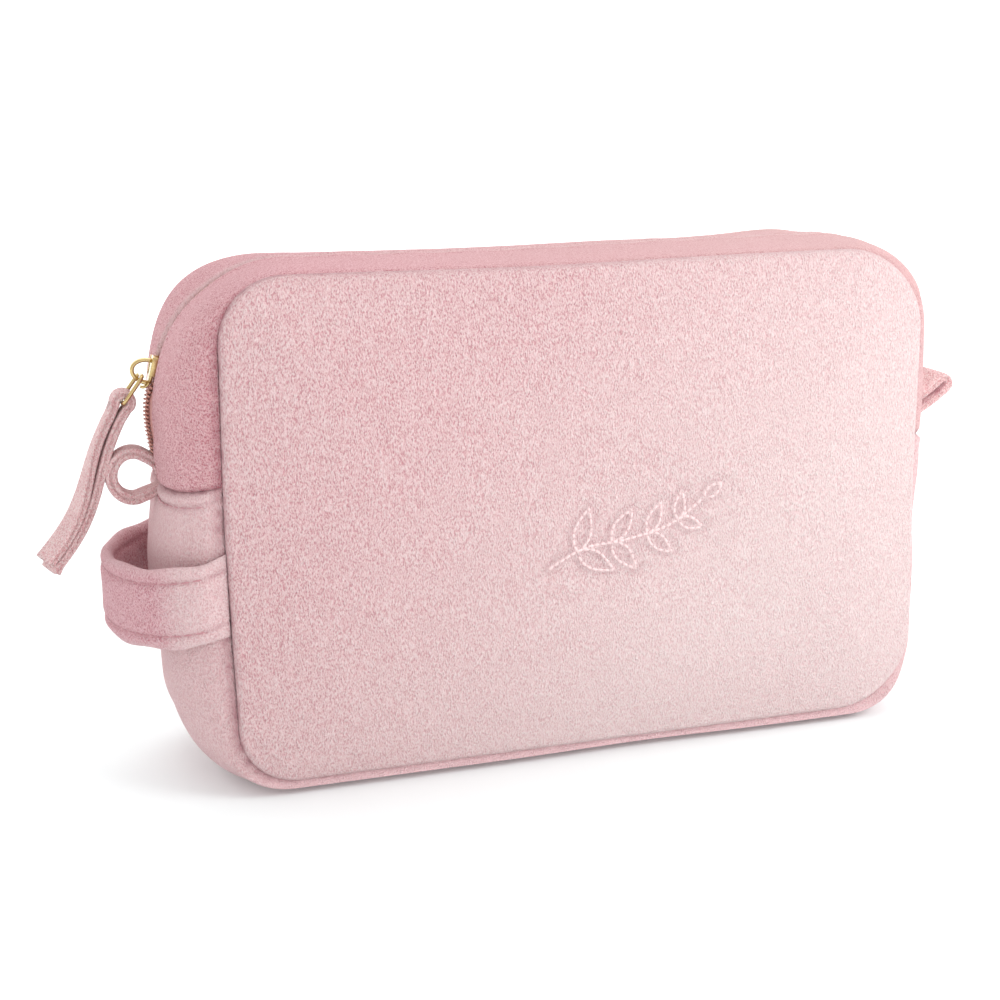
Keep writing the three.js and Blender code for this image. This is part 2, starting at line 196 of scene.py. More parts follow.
def soft_band(thickness, width, sides=40, power=6):
    """A flat band's section with rounded edges: |x/a| and |y/b| to a power add up to 1."""
    a = np.arange(sides) / sides * TURN
    c, s = np.cos(a), np.sin(a)
    r = (np.abs(c) ** power + np.abs(s) ** power) ** (-1 / power)
    return np.stack([r * c * thickness / 2, r * s * width / 2], -1)


# ---------------------------------------------------------------- the gusset's two outlines
ANGLES = {"tl": (180, 90), "tr": (90, 0), "br": (0, -90), "bl": (-90, -180)}


def corner_points(outline, radii, name, degrees):
    """Points on one rounded corner of an outline: its centre plus the radius turned through the angles."""
    left, low = name in ("tl", "bl"), name in ("bl", "br")
    r = radii[name]
    centre = [outline["left"] + r if left else outline["right"] - r,
              outline["bottom"] + r if low else outline["top"] - r]
    a = np.radians(degrees)
    return np.array(centre) + r * np.stack([np.cos(a), np.sin(a)], -1)


def corner_leg(name, count=34):
    """Matching seam, crest and normal points round one corner."""
    degrees = np.linspace(*ANGLES[name], count)
    a = np.radians(degrees)
    return (corner_points(SEAM, SEAM_RADIUS, name, degrees),
            corner_points(CREST, CREST_RADIUS, name, degrees),
            np.stack([np.cos(a), np.sin(a)], -1))


def side_leg(side):
    """The same three where the zip gusset meets the lower gusset."""
    return (np.array([[SEAM[side], JOIN]]), np.array([[CREST[side], JOIN]]),
            np.array([[-1.0 if side == "left" else 1.0, 0.0]]))


def fullness(side, height):
    """How far the crest stands out past its outline: the join pulls both sides in, the left side is
    fuller below it and the right side is flatter."""
    left = 2.6 * bell(height - 58, 30)
    right = 4 * smoothstep(62, 100, height) - 4
    return np.where(side < 0, left, right) - bell(height - JOIN, 8)


def route(*legs, spacing=1.6):
    """Seam, crest and normal along the legs, with straight runs between them at the given spacing."""
    parts = [legs[0]]
    for before, after in zip(legs, legs[1:]):
        length = np.linalg.norm(after[0][0] - before[0][-1])
        t = np.linspace(0, 1, max(int(length / spacing), 1) + 1)[1:-1, None]
        parts.append(tuple(b[-1] + (a[0] - b[-1]) * t for b, a in zip(before, after)))
        parts.append(after)
    seam, crest, normal = (np.concatenate([p[k] for p in parts]) for k in range(3))
    full = crest.copy()
    full[:, 0] += normal[:, 0] * fullness(normal[:, 0], crest[:, 1])
    return seam, full, normal


UPPER = route(side_leg("left"), corner_leg("tl"), corner_leg("tr"), side_leg("right"))
LOWER = route(side_leg("right"), corner_leg("br"), corner_leg("bl"), side_leg("left"))


def slump(points):
    """How the soft bag settles: its top dips a little between the corners and its faces wander."""
    x, y, z = points[..., 0], points[..., 1], points[..., 2]
    high = smoothstep(90, 156, z)
    hollow = 0.9 * bell(x + 20, 50) + 0.4 * bell(x - 52, 16) * smoothstep(-10, 25, y)
    dip = hollow - 1.1 * bell(x - 88, 13) * bell(y - 27, 9)
    wander = 0.5 * np.sin(x / 27 + 1.3) * np.sin(z / 33 + y / 30)
    settled = points.copy()
    settled[..., 2] = z - high * dip
    sway = 0.5 * np.sin(z / 19 + 0.6) * smoothstep(96, 112, np.abs(x))
    settled[..., 0] = x + sway * smoothstep(2, 20, z) * (x < 113)
    settled[..., 1] = y + wander * smoothstep(8, 30, z) * smoothstep(6, 30, np.abs(y))
    return settled


def roll(y):
    """The gusset's fullness across its depth: 0 at the seam and 1 at the crest, steep near the seam."""
    return (1 - np.clip(np.abs(y) / HALF_DEPTH, 0, 1) ** 3.2) ** 0.6


def puff(crest, y):
    """Where the soft gusset stands out past its plain roll: round the zip's top left corner, most of all
    behind the zip, and a little all along both edges of the zip."""
    corner = bell(np.hypot(crest[..., 0] + 113.7, crest[..., 1] - 143.7), 20)
    return corner * (3.5 * bell(y - 21, 13) + 1.3 * bell(y + 24, 9)) + 0.4 * bell(np.abs(y) - 12, 6)


def settle(crest, normal, y):
    """How far the join runs uphill from the crest to the panels' seams."""
    wall = smoothstep(0.9, 1.0, np.abs(normal[..., 0]))
    return wall * bell(crest[..., 1] - JOIN, 16) * (2.1 - 3.9 * roll(y))


def gusset_grid(track, depths, sink, floor=0.0):
    """Points of a gusset layer: seam plus the way to the crest times the roll, sunk along the normal."""
    seam, crest, normal = (part[:, None] for part in track)
    y = depths if np.ndim(depths) == 2 else np.broadcast_to(depths, (seam.shape[0], len(depths)))
    out = puff(crest, y) - sink
    flat = seam + (crest - seam) * roll(y)[..., None] + normal * out[..., None]
    points = np.stack([flat[..., 0], y, flat[..., 1] + settle(crest, normal, y)], -1)
    points[..., 2] = np.maximum(points[..., 2], floor)
    return slump(points)


def eased(low, high, count):
    """Numbers from low to high, closer together at both ends."""
    t = np.linspace(0, 1, count)
    t = 0.5 - 0.5 * np.cos(np.pi * t) * (1 - 0.35 * np.sin(np.pi * t) ** 2)
    return low + (high - low) * t


# ---------------------------------------------------------------- shader maths


class Socket:
    """A number socket of a node tree; arithmetic on it adds Math nodes."""

    def __init__(self, tree, socket):
        self.tree, self.socket = tree, socket

    def _math(self, operation, a, b):
        return self.tree.node("ShaderNodeMath", {"operation": operation}, {0: a, 1: b})

    def __add__(self, other):
        return self._math("ADD", self, other)

    def __sub__(self, other):
        return self._math("SUBTRACT", self, other)

    def __rsub__(self, other):
        return self._math("SUBTRACT", other, self)

    def __mul__(self, other):
        return self._math("MULTIPLY", self, other)

    def __pow__(self, other):
        return self._math("POWER", self, other)

    __radd__ = __add__
    __rmul__ = __mul__


class Tree:
    """A material's node tree."""

    def __init__(self, name):
        self.material = bpy.data.materials.new(name)
        self.material.use_nodes = True
        self.tree = self.material.node_tree
        self.tree.nodes.clear()

    def node(self, kind, settings=None, values=None, output=0):
        """Adds a node: its settings first, then its sockets' values or links."""
        made = self.tree.nodes.new(kind)
        for key, value in (settings or {}).items():
            setattr(made, key, value)
        for key, value in (values or {}).items():
            if isinstance(value, Socket):
                self.tree.links.new(value.socket, made.inputs[key])
            else:
                made.inputs[key].default_value = value
        return Socket(self, made.outputs[output])

    def ramp(self, factor, stops):
        """A colour ramp with the given (position, colour) stops."""
        made = self.tree.nodes.new("ShaderNodeValToRGB")
        for i, (position, colour) in enumerate(stops):
            stop = made.color_ramp.elements[i] if i < 2 else made.color_ramp.elements.new(position)
            stop.position, stop.color = position, (*colour, 1)
        self.tree.links.new(factor.socket, made.inputs[0])
        return Socket(self, made.outputs[0])

    def mix(self, factor, a, b, blend="MIX"):
        """A colour between a and b."""
        made = self.tree.nodes.new("ShaderNodeMix")
        made.data_type, made.blend_type = "RGBA", blend
        for index, value in ((0, factor), (6, a), (7, b)):
            if isinstance(value, Socket):
                self.tree.links.new(value.socket, made.inputs[index])
            else:
                made.inputs[index].default_value = value if index == 0 else (*value, 1)
        return Socket(self, made.outputs[2])

    def place(self, scale=(1, 1, 1), turn=(0, 0, 0)):
        """Object coordinates, scaled and turned."""
        where = self.node("ShaderNodeTexCoord", output=3)
        return self.node("ShaderNodeMapping", {}, {"Vector": where, "Scale": scale, "Rotation": turn})

    def clamped(self, value):
        """The value, kept between 0 and 1."""
        return self.node("ShaderNodeClamp", {}, {"Value": value})

    def noise(self, where, scale, detail=2.0, distortion=0.0):
        """Soft noise, scale spots a metre."""
        return self.node("ShaderNodeTexNoise", {}, {
            "Vector": where, "Scale": scale, "Detail": detail, "Distortion": distortion})

    def finish(self, values, bump=None):
        """The shader and the output."""
        if bump is not None:
            height, strength, distance = bump
            values["Normal"] = self.node("ShaderNodeBump", {}, {
                "Height": height, "Strength": strength, "Distance": distance})
        shader = self.node("ShaderNodeBsdfPrincipled", {}, values)
        out = self.tree.nodes.new("ShaderNodeOutputMaterial")
        self.tree.links.new(shader.socket, out.inputs["Surface"])
        return self.material


def srgb(red, green, blue):
    """A screen colour, 0 to 255, as linear light."""
    return tuple(float(((c / 255 + 0.055) / 1.055) ** 2.4) for c in (red, green, blue))


def pile_colours(t, pile, tone, contrast):
    """The tone, deeper between the tufts and paler on their tips."""
    low = tuple(c * (1 - contrast * f) for c, f in zip(tone, (0.10, 0.22, 0.20)))
    high = tuple(min(c * (1 + contrast * f), 1) for c, f in zip(tone, (0.05, 0.14, 0.13)))
    return t.ramp(pile, [(0.36, low), (0.5, tone), (0.64, high)])


def velvet_material(name, tone, grain=(1.0, 1.0, 0.42), turn=(0, 0, 0), contrast=1.0, far=None):
    """Short-pile velvet: fine brushed flecks, slow shading where the pile leans. A point attribute paints
    light
    into the colour: above 0 it is painted shade in a seam or groove, below 0 a painted highlight on an
    edge.
    With far = (tone, direction, start, end), the colour turns to that paler tone along the direction, in
    metres: painted light on the side that a lamp lights."""
    t = Tree(name)
    flecks = t.noise(t.place(grain, turn), 2300, 1.0, 0.15)
    fine = t.noise(t.place(grain, turn), 4200, 1.0, 0.1)
    lean = t.noise(t.place((1, 1, 1.4)), 22, 2.0, 0.2)
    pile = flecks * 0.65 + fine * 0.35
    brushed = pile_colours(t, pile, tone, contrast)
    # painted light: along the direction the colour drifts to a paler, lit tone
    if far:
        other, direction, start, end = far
        along = t.node("ShaderNodeVectorMath", {"operation": "DOT_PRODUCT"},
                       {0: t.place(), 1: direction}, output=1)
        turned = t.clamped((along - start) * (1 / (end - start)) + (lean - 0.5) * 0.4)
        brushed = t.mix(turned, brushed, pile_colours(t, pile, other, 0.5 * contrast))
    shade = t.mix(lean, (1, 1, 1), (0.94, 0.84, 0.86))
    leaned = t.mix(0.4, brushed, shade, "MULTIPLY")
    # breaks the painted seam shade into dots, like the shade in stitch holes
    stitch = t.noise(t.place(), 330, 0.0) * 1.6 - 0.2
    # the point attribute that paints light: above 0 painted shade, below 0 painted highlight
    shade_and_highlight = t.node("ShaderNodeAttribute", {"attribute_name": "shade_and_highlight"}, output=2)
    # the colour of the painted shade
    deep = tuple(c * f for c, f in zip(tone, (0.52, 0.27, 0.33)))
    # painted highlight: paler where the attribute is below 0
    edge_highlight = t.mix(t.clamped(shade_and_highlight * -0.6), leaned, (0.93, 0.72, 0.72))
    # painted shade: darker where the attribute is above 0
    colour = t.mix(t.clamped(shade_and_highlight * stitch), edge_highlight, deep)
    return t.finish({
        "Base Color": colour, "Roughness": 0.92, "Sheen Weight": 0.25, "Sheen Roughness": 0.4,
        "Sheen Tint": (1.0, 0.92, 0.92, 1), "Specular IOR Level": 0.12},
        bump=(pile, 0.85, 0.002))


def cloth_material(name, tone, scale=1500):
    """Plain woven cloth: crossing threads from two waves, with slight unevenness."""
    t = Tree(name)
    where = t.place()
    warp = t.node("ShaderNodeTexWave", {"bands_direction": "X"}, {"Vector": where, "Scale": scale / 6})
    weft = t.node("ShaderNodeTexWave", {"bands_direction": "Z"}, {"Vector": where, "Scale": scale / 6})
    uneven = t.noise(where, 90, 2.0)
    colour = t.mix(uneven, tuple(c * 0.9 for c in tone), tone)
    return t.finish({"Base Color": colour, "Roughness": 0.6, "Sheen Weight": 0.15},
                    bump=(warp * 0.5 + weft * 0.5, 0.3, 0.0002))


def nylon_material(name, tone):
    """Glossy nylon with a slight change of colour from turn to turn."""
    t = Tree(name)
    spots = t.noise(t.place(), 300, 1.0)
    colour = t.mix(spots, tuple(c * 0.78 for c in tone), tone)
    return t.finish({"Base Color": colour, "Roughness": spots * 0.2 + 0.3, "Specular IOR Level": 0.5})


def gold_material(name, tone):
    """Polished pale gold plating with faint handling marks."""
    t = Tree(name)
    marks = t.noise(t.place(), 700, 3.0)
    colour = t.mix(marks, tuple(c * 0.92 for c in tone), tone)
    return t.finish({"Base Color": colour, "Metallic": 1.0, "Roughness": marks * 0.14 + 0.12},
                    bump=(marks, 0.06, 0.0002))


# painted light: the panels turn paler toward the right, where the key light falls
VELVET_UP = velvet_material("velvet", (0.80, 0.54, 0.55), (1.0, 1.0, 0.5), (0, 0.5, 0), contrast=1.9,
                            far=((0.87, 0.685, 0.68), (1, 0, -0.9), -0.1475, 0.0))
# painted light: the zip gusset turns paler toward the right, where the key light falls
VELVET_SIDE = velvet_material("velvet_gusset", (0.79, 0.435, 0.465), (1.0, 0.8, 0.75), contrast=2.5,
                              far=((0.80, 0.50, 0.50), (1, 0, 0), -0.09, 0.09))
# painted light: a paler band along the base, painted as lit where the underside lies in shade
VELVET_LOWER = velvet_material("velvet_lower", (0.87, 0.60, 0.61), (1.0, 1.0, 0.55), contrast=1.2,
                               far=((0.97, 0.68, 0.70), (0, 0, -1), -0.008, -0.003))
VELVET_STRAP = velvet_material("velvet_strap", (0.95, 0.65, 0.645), (1.0, 1.0, 0.7), contrast=1.9)
# painted light: the handle turns paler toward its front end
VELVET_HANDLE = velvet_material("velvet_handle", (0.80, 0.45, 0.49), (1.0, 1.0, 0.7), contrast=2.4,
                                far=((0.88, 0.62, 0.63), (0, -1, 0), 0.0315, 0.0365))
LINING_CLOTH = cloth_material("lining_cloth", srgb(228, 198, 196))
BINDING_CLOTH = cloth_material("binding_cloth", srgb(206, 158, 162))
TAPE_CLOTH = cloth_material("tape_cloth", srgb(222, 166, 160))
THREAD = cloth_material("thread", srgb(206, 148, 154), 3000)
PALE_THREAD = cloth_material("pale_thread", srgb(246, 216, 216), 3000)
COIL_NYLON = nylon_material("coil_nylon", srgb(226, 166, 152))
GOLD = gold_material("pale_gold", srgb(208, 182, 130))

# ---------------------------------------------------------------- the stitched motif
# A leafy sprig: a curved stem with paired leaves. Places are across and up from its middle.
MOTIF_AT = np.array([9.5, 72.0])


def curve_points(points, count=60):
    """A smooth curve through given points (Catmull-Rom)."""
    p = np.array([points[0], *points, points[-1]], float)
    t = np.linspace(0, len(points) - 1, count)
    k = np.minimum(t.astype(int), len(points) - 2)
    f = (t - k)[:, None]
    a, b, c, d = p[k], p[k + 1], p[k + 2], p[k + 3]
    square = (2 * a - 5 * b + 4 * c - d) * f ** 2
    cube = (3 * b - a - 3 * c + d) * f ** 3
    return 0.5 * (2 * b + (c - a) * f + square + cube)


def leaf_line(base, angle, length, width):
    """A leaf's outline: out along one bowed side and back along the other."""
    t = np.linspace(0, 1, 26)
    bow = width * np.sin(np.pi * t ** 0.8)
    a = math.radians(angle)
    along, across = np.array([math.cos(a), math.sin(a)]), np.array([-math.sin(a), math.cos(a)])
    out = base + length * t[:, None] * along + bow[:, None] * across
    back = base + length * t[::-1, None] * along - bow[::-1, None] * across
    return np.concatenate([out, back[1:]])


def motif_lines():
    """The stem, its leaves in pairs and a bud at the tip."""
    stem = curve_points([(-26, -9), (-14, -3.5), (0, -2), (14, 1.5), (25, 9)])
    lines = [stem]
    for i, at in enumerate((12, 24, 36, 47)):
        base = stem[at]
        ahead = stem[at + 1] - stem[at - 1]
        heading = math.degrees(math.atan2(ahead[1], ahead[0]))
        size = 13.5 - 1.6 * i
        lines += [leaf_line(base, heading + turn, size, size * 0.2) for turn in (52, -52)]
    lines.append(leaf_line(stem[-1], 34, 7.0, 1.6))
    return [line + MOTIF_AT for line in lines]


MOTIF = motif_lines()


def motif_gap(x, z):
    """How far each place is from the nearest stitched line."""
    dots = np.concatenate(MOTIF)
    near = (np.abs(x - MOTIF_AT[0]) < 34) & (np.abs(z - MOTIF_AT[1]) < 24)
    gap = np.full(x.shape, 99.0)
    flat = np.stack([x[near], z[near]], -1)
    gap[near] = np.sqrt(((flat[:, None] - dots[None]) ** 2).sum(-1).min(1))
    return gap


# ---------------------------------------------------------------- panels


def outline_distance(x, z, inset=0.0):
    """How far a point is inside the seam outline, with its rounded corners."""
    left, right = SEAM["left"] + inset, SEAM["right"] - inset
    low, high = SEAM["bottom"] + inset, SEAM["top"] - inset
    distance = np.minimum(np.minimum(x - left, right - x), np.minimum(z - low, high - z))
    for name, radius in SEAM_RADIUS.items():
        r = radius - inset
        cx = left + r if name in ("tl", "bl") else right - r
        cz = low + r if name in ("bl", "br") else high - r
        beside = (x < cx) if name in ("tl", "bl") else (x > cx)
        past = (z < cz) if name in ("bl", "br") else (z > cz)
        distance = np.where(beside & past, r - np.hypot(x - cx, z - cz), distance)
    return np.maximum(distance, 0)


def panel_places(rows, columns, inset=0.0):
    """A grid that fills the rounded outline: each row runs between the outline's two sides."""
    z = eased(SEAM["bottom"] + inset, SEAM["top"] - inset, rows)

    def side(top, bottom):
        """How far each row's end is drawn in by the outline's rounded corners."""
        shift = np.zeros(rows)
        for radius, edge, sign in ((SEAM_RADIUS[top], SEAM["top"], 1),
                                   (SEAM_RADIUS[bottom], SEAM["bottom"], -1)):
            r = radius - inset
            into = np.clip(sign * (z - (edge - sign * radius)), 0, r)
            shift = np.maximum(shift, r - np.sqrt(r * r - into * into))
        return shift

    left = SEAM["left"] + inset + side("tl", "bl")
    right = SEAM["right"] - inset - side("tr", "br")
    u = eased(0, 1, columns)
    x = left[:, None] + (right - left)[:, None] * u
    return x, np.broadcast_to(z[:, None], x.shape)


def crown(distance):
    """How far a panel swells, from nothing at the seam to its full height in the middle."""
    return 5.0 * (1 - (1 - np.clip(distance / 50, 0, 1)) ** 2.4)


def panel(name, side, material, stitched=False):
    """A big velvet panel: a rounded lip at the seam, a gentle crown, and small puckers by the seam."""
    x, z = panel_places(190, 250)
    d = outline_distance(x, z)
    lip = 2.1 * np.sqrt(1 - (1 - np.clip(d / 1.9, 0, 1)) ** 2)
    pucker = 0.16 * np.sin(x * 0.83 + 0.6 * np.sin(z * 0.11)) * np.sin(z * 0.71 + 0.4) * bell(d - 4, 4)
    drift = 0.35 * np.sin(x / 23 + 0.7) * np.sin(z / 17 + x / 61) * smoothstep(4, 30, d)
    out = HALF_DEPTH + 0.3 + lip + crown(d) + pucker + drift
    # painted shade in the seam's groove, darkest down the left side
    painted_shade = bell(d, 0.4) * (0.2 + 0.5 * smoothstep(40, 100, -x))
    if stitched:
        gap = motif_gap(x, z)
        out = out + 0.3 * bell(gap, 0.8) - 0.55 * bell(gap - 1.7, 1.0)
        # painted shade in the puckered hollows beside the stitched sprig
        painted_shade = np.maximum(painted_shade, 0.26 * bell(gap - 1.1, 0.5))
    inner = HALF_DEPTH - 0.05 + crown(d) + drift
    outer_grid = slump(np.stack([x, side * out, z], -1))
    inner_grid = slump(np.stack([x, side * inner, z], -1))
    shade_and_highlight = np.concatenate([painted_shade.ravel(), np.zeros(d.size)])
    return make_piece(name, *wall_mesh(outer_grid, inner_grid), material, "velvet", shade_and_highlight)


def panel_lining(name, side):
    """The lining behind a panel, following its crown."""
    x, z = panel_places(60, 90, inset=3.2)
    d = outline_distance(x, z)
    drift = 0.35 * np.sin(x / 23 + 0.7) * np.sin(z / 17 + x / 61) * smoothstep(4, 30, d)
    out = HALF_DEPTH - 0.5 + crown(d) + drift
    grids = [slump(np.stack([x, side * (out - t), z], -1)) for t in (0.0, 0.7)]
    return make_piece(name, *wall_mesh(*grids), LINING_CLOTH, "lining")


# ---------------------------------------------------------------- gussets


def seam_lip(y):
    """The gusset dives into the seam over its last couple of millimetres."""
    away = HALF_DEPTH - np.abs(y)
    return 1.5 * (1 - np.sqrt(1 - (1 - np.clip(away / 1.8, 0, 1)) ** 2))


def seam_dark(crest):
    """How deep a seam's shadow is: deepest down the left side, where the seam is pulled in."""
    return (0.2 + 0.5 * smoothstep(60, 110, -crest[:, 0]))[:, None]


def zip_spread(crest):
    """How far the open zip, below the slider, is pushed apart from its middle line: 0 to 1."""
    top = SLIDER_AT[1] - 3
    below = np.clip((top - crest[..., 1]) / (top - JOIN), 0, 1)
    return np.sin(np.pi * below ** 0.6) * (crest[..., 0] < 0)


def slider_room(crest):
    """The velvet edges part round the slider: 0 to 1."""
    return bell(np.hypot(crest[..., 0] - SLIDER_AT[0], crest[..., 1] - SLIDER_AT[1]), 5.5)


def turned_edge(distance, width):
    """A quarter round where velvet is folded under: 1 at the edge, down to 0 over width."""
    return 1 - np.sqrt(1 - (1 - np.clip(distance / width, 0, 1)) ** 2)


def zip_gusset(name, side):
    """Half of the zip gusset: velvet from the seam to a folded edge that stands up along the zip."""
    seam, crest, _ = UPPER
    t = eased(0, 1, 44)
    edge = (ZIP_SLOT + 1.9 * zip_spread(crest) + 1.3 * slider_room(crest))[:, None]
    y = -(HALF_DEPTH - 0.25) + (HALF_DEPTH - 0.25 - edge) * t
    from_edge = -y - edge
    roll = 1.5 * turned_edge(from_edge, 1.3) - 0.6 * bell(from_edge - 1.9, 1.7)
    along = (seam[:, 0] + seam[:, 1])[:, None]
    wave = 0.22 * np.sin(along * 0.31 + y * 0.2) * bell(from_edge - 6, 9)
    above_join = crest[:, 1][:, None] - JOIN
    join = 1.3 * turned_edge(above_join, 2.2)
    outer = gusset_grid(UPPER, side * -y, seam_lip(y) + roll + wave + join)
    inner = gusset_grid(UPPER, side * -y, np.full(y.shape, VELVET))
    # painted shade in the seam and along the join
    groove = np.maximum(bell(HALF_DEPTH + y, 0.6) * seam_dark(crest),
                        bell(above_join, 0.45) * np.ones(y.shape))
    # minus a painted highlight along the folded edge by the zip
    shade_and_highlight = np.concatenate([(groove - bell(from_edge - 0.4, 0.7)).ravel(), np.zeros(y.size)])
    return make_piece(name, *wall_mesh(outer, inner), VELVET_SIDE, "velvet", shade_and_highlight)


def lower_gusset():
    """The strip up both sides and across the base: turned under at the join, with a stitched hem."""
    y = eased(-(HALF_DEPTH - 0.25), HALF_DEPTH - 0.25, 76)[None] * np.ones((len(LOWER[0]), 1))
    _, crest, normal = LOWER
    below = (JOIN - crest[:, 1])[:, None] + 99 * (np.abs(normal[:, :1]) < 0.99)
    join = 1.5 * turned_edge(below, 2) - 0.6 * bell(below - 2.4, 1.6)
    stitch = 0.55 * bell(below - HEM, 0.7)
    wave = 0.35 * np.sin(crest[:, 1][:, None] * 0.16 + y * 0.07) * np.abs(normal[:, :1])
    outer = gusset_grid(LOWER, y, seam_lip(y) + join + stitch + wave)
    under = smoothstep(0.3, 0.95, -normal[:, 1:]) * (1 - 0.3 * bell(crest[:, :1] - 20, 30))
    outer[..., 1] += 4.6 * np.sign(y) * bell(np.abs(y) - 33.6, 1.9) * under
    inner = gusset_grid(LOWER, y, np.full(y.shape, VELVET + 0.3), floor=VELVET - 0.3)
    # painted shade in the seams, at the join and along the hem's stitched groove
    groove = np.maximum(bell(HALF_DEPTH - np.abs(y), 0.6) * seam_dark(crest),
                        np.maximum(bell(below, 0.45), 0.6 * bell(below - HEM, 0.5)))
    shade_and_highlight = np.concatenate([groove.ravel(), np.zeros(y.size)])
    return make_piece("lower_gusset_velvet", *wall_mesh(outer, inner), VELVET_LOWER, "velvet", shade_and_highlight)


def strip(name, track, depths, top, thickness, material, slot):
    """A thin layer under the velvet."""
    depths = np.asarray(depths, float)
    grids = [gusset_grid(track, depths, depth, depth) for depth in (top, top + thickness)]
    return make_piece(name, *wall_mesh(*grids), material, slot)


def zip_tape(name, side):
    """The woven tape under a velvet edge, curling out with its coil where the zip is undone."""
    spread = zip_spread(UPPER[1])[:, None]
    base = np.array([13, 10, 7, 5.4, 4.4, 3.7, 3, 2.3, 1.6])
    near = smoothstep(4.4, 1.6, base)
    y = side * (base + 1.3 * spread * near)
    top = 2.35 - 3.8 * spread * near
    grids = [gusset_grid(UPPER, y, top + t) for t in (0.0, 0.4)]
    return make_piece(name, *wall_mesh(*grids), TAPE_CLOTH, "zip_tape")


def binding_ring(name, track, side, closed):
    """Bias tape folded over the raw edges, as a soft bar just inside the seam."""
    seam, _, normal = track
    a = np.arange(16) / 16 * TURN
    inset = 5.5 + 1.1 * np.sign(np.cos(a)) * np.abs(np.cos(a)) ** 0.6
    y = 33.5 + 1.1 * np.sign(np.sin(a)) * np.abs(np.sin(a)) ** 0.6
    flat = seam[:, None] - normal[:, None] * inset[None, :, None]
    rings = np.stack([flat[..., 0], side * np.broadcast_to(y, flat.shape[:2]), flat[..., 1]], -1)
    return make_piece(name, *tube_mesh(slump(rings), closed), BINDING_CLOTH, "binding")


# ---------------------------------------------------------------- zip


def crest_path(track):
    """The line of the zip on the crest, its outward direction, and the length run so far."""
    _, _, normal = track
    path = gusset_grid(track, np.zeros(1), 0.0)[:, 0]
    length = np.concatenate([[0], np.cumsum(np.linalg.norm(np.diff(path, axis=0), axis=1))])
    return path, np.stack([normal[:, 0], np.zeros(len(path)), normal[:, 1]], -1), length


def zip_coil(name, side):
    """Nylon coil: an oval helix along the zip, one turn a pitch, with the two sides half a turn apart.
    Below the slider the two sides part and curl outward."""
    pitch, steps, sides = 1.2, 12, 6
    path, normal, length = crest_path(UPPER)
    turns = int((length[-1] - 1) / pitch)
    at = np.linspace(0.5, 0.5 + turns * pitch, turns * steps)
    place = np.stack([np.interp(at, length, path[:, k]) for k in range(3)], -1)
    out = np.stack([np.interp(at, length, normal[:, k]) for k in range(3)], -1)
    open_ = np.interp(at, length, zip_spread(UPPER[1]))
    phase = (at - 0.5) / pitch * TURN + (0 if side < 0 else math.pi)
    place[:, 1] += side * (1.05 + 1.7 * open_ + 1.0 * np.cos(phase))
    place += out * (0.5 * np.sin(phase) - 1.1 + 3.0 * open_)[:, None]
    rings = along_path(place, round_bar(0.3, sides), out)
    return make_piece(name, *tube_mesh(rings), COIL_NYLON, "zip_coil")


OUTWARD = np.array([-math.cos(SLIDER_TURN), math.sin(SLIDER_TURN)])
FORWARD = np.array([math.sin(SLIDER_TURN), math.cos(SLIDER_TURN)])
SLIDER_AT = ZIP_CORNER + OUTWARD * CREST_RADIUS["tl"]


def local_frame(points):
    """Slider places (along the zip, across, outward) as places at the bag's top left corner."""
    flat = SLIDER_AT + points[..., 2:] * OUTWARD + points[..., :1] * FORWARD
    return np.stack([flat[..., 0], points[..., 1], flat[..., 1]], -1)


def plate_rings(outline, low, high, bevel):
    """Rings up a plate with rounded edges: the outline shrinks near its two faces."""
    centre = outline.mean(0)
    reach = np.linalg.norm(outline - centre, axis=1)[:, None]
    turn = np.linspace(0, np.pi / 2, 5)
    rise = bevel * (1 - np.cos(turn))
    shrink = bevel * (1 - np.sin(turn))
    levels = list(zip(low + rise, shrink)) + list(zip(high - rise[::-1], shrink[::-1]))
    return np.array([np.concatenate([centre + (outline - centre) * (1 - s / reach),
                                     np.full((len(outline), 1), z)], 1) for z, s in levels])


def wing_outline(length, width):
    """A slider wing seen from above: rounded, a little narrower towards its tail."""
    a = np.arange(48) / 48 * TURN
    c, s = np.cos(a), np.sin(a)
    r = (np.abs(c) ** 4 + np.abs(s) ** 4) ** -0.25
    x, y = r * c * length / 2, r * s * width / 2
    taper = 1 - 0.28 * smoothstep(0, length / 2, -x)
    return np.stack([x, y * taper], -1)


def slider_body():
    """The slider's casting: two wings, side walls round the coil, a post and a tail that curls out."""
    outer = plate_rings(wing_outline(8.4, 7.2), 0.35, 1.35, 0.35)
    inner = plate_rings(wing_outline(8.2, 7.0), -4.4, -3.5, 0.3)
    post = plate_rings(wing_outline(2.6, 1.5) + [1.9, 0], -3.6, 0.4, 0.1)
    parts = [tube_mesh(local_frame(rings)) for rings in (outer, inner, post)]
    for side in (-1, 1):
        flange = plate_rings(wing_outline(5.8, 1.0) + [1.1, side * 3.2], -1.5, 1.5, 0.25)
        parts.append(tube_mesh(local_frame(flange)))
    t = np.linspace(0, 1, 14)
    tail = np.stack([-3.4 - 2.3 * np.sin(t * 1.7), 0 * t, 0.9 + 2.4 * (1 - np.cos(t * 1.5))], -1)
    ribbon = along_path(tail, soft_band(0.8, 3.4, 24), (0, 1, 0))
    parts.append(tube_mesh(local_frame(ribbon)))
    return make_piece("slider_casting", *joined(parts), GOLD, "gold_metal", whole=False)


def slider_crown():
    """The bridge over the slider that the link hangs on."""
    a = np.linspace(math.pi, 0, 34)
    path = np.stack([3.4 * np.cos(a) - 0.8, 0 * a, 1.25 + 5.3 * np.sin(a) ** 0.85], -1)
    rings = along_path(path, soft_band(1.3, 3.0, 24, 3), (0, 1, 0))
    return make_piece("slider_bridge", *tube_mesh(local_frame(rings)), GOLD, "gold_metal")


LINK_TILT = math.radians(37.4)
LINK_AT = local_frame(np.array([-2.2, 0.0, 3.6]))
LINK_LENGTH = 9.9
LINK_DOWN = np.array([-math.sin(LINK_TILT), 0, -math.cos(LINK_TILT)])


